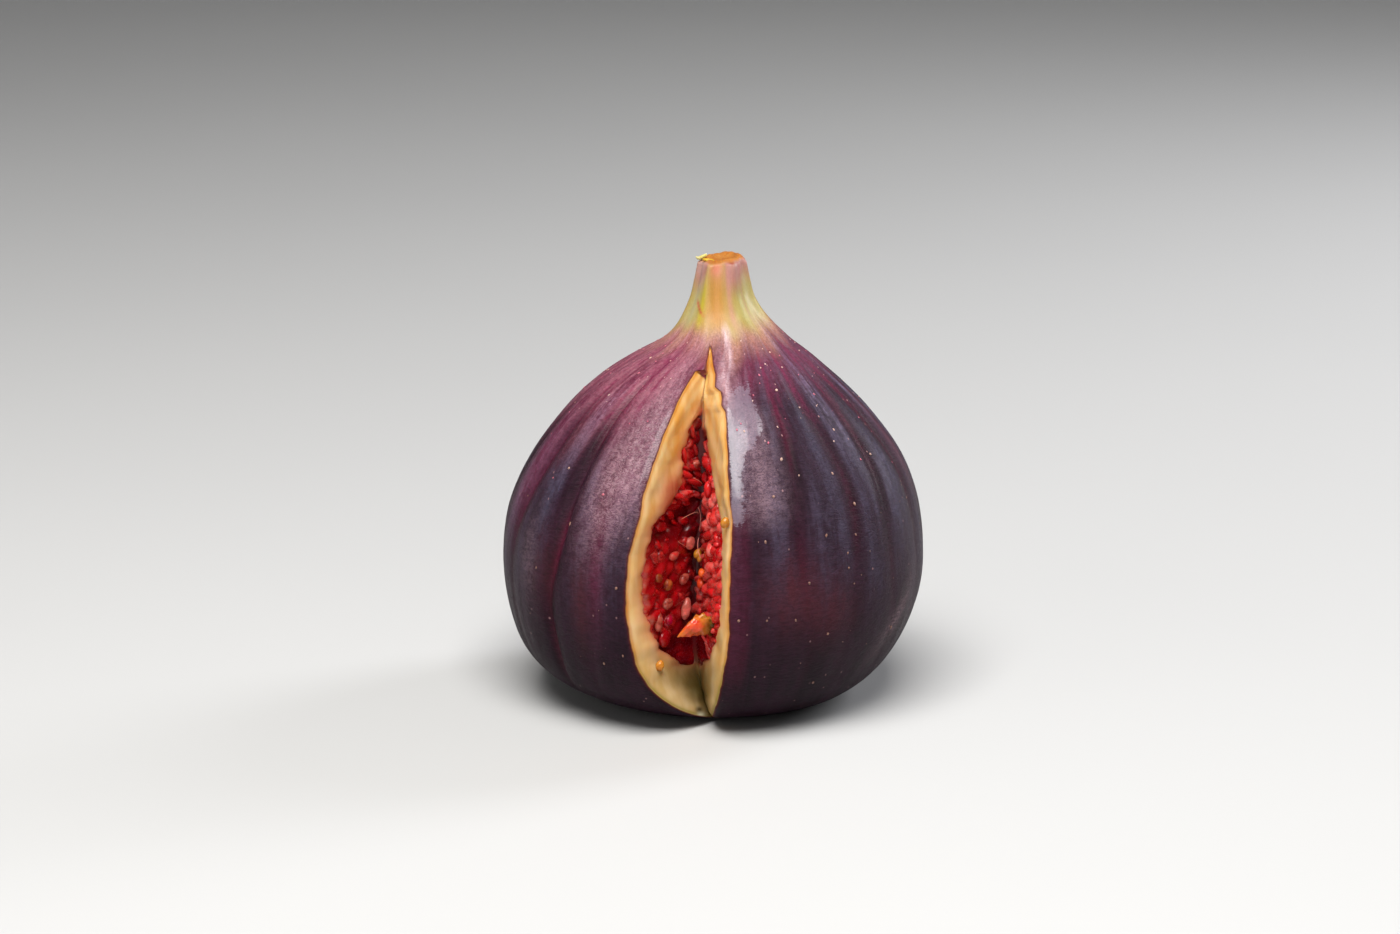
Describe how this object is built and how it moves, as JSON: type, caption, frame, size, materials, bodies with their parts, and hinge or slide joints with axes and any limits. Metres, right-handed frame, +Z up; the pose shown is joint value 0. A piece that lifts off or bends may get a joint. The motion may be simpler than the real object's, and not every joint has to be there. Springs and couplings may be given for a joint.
{
  "type": "fresh fig",
  "caption": "Ripe purple fig standing on its flattened base with its stalk up, cut open lengthwise at the front to show pale flesh and red seedy pulp.",
  "frame": {"origin": "bottom centre of the fruit, at the middle of the face it stands on", "axes": "+Z up along the core towards the stalk, the open cut faces -Y, +X to the right of the cut as seen from the front"},
  "size_m": [0.0554, 0.0554, 0.0586],
  "materials": {
    "skin": "thin dark purple fig skin with a pale bloom over cream flesh, satin, faintly wrinkled",
    "pulp": "wet, translucent red fig pulp",
    "seed": "glossy golden seed shell"
  },
  "bodies": {
    "root": {"rind": "skin", "pulp": "pulp", "stray_seed_1": "seed", "stray_seed_2": "seed"}
  },
  "joints": []
}
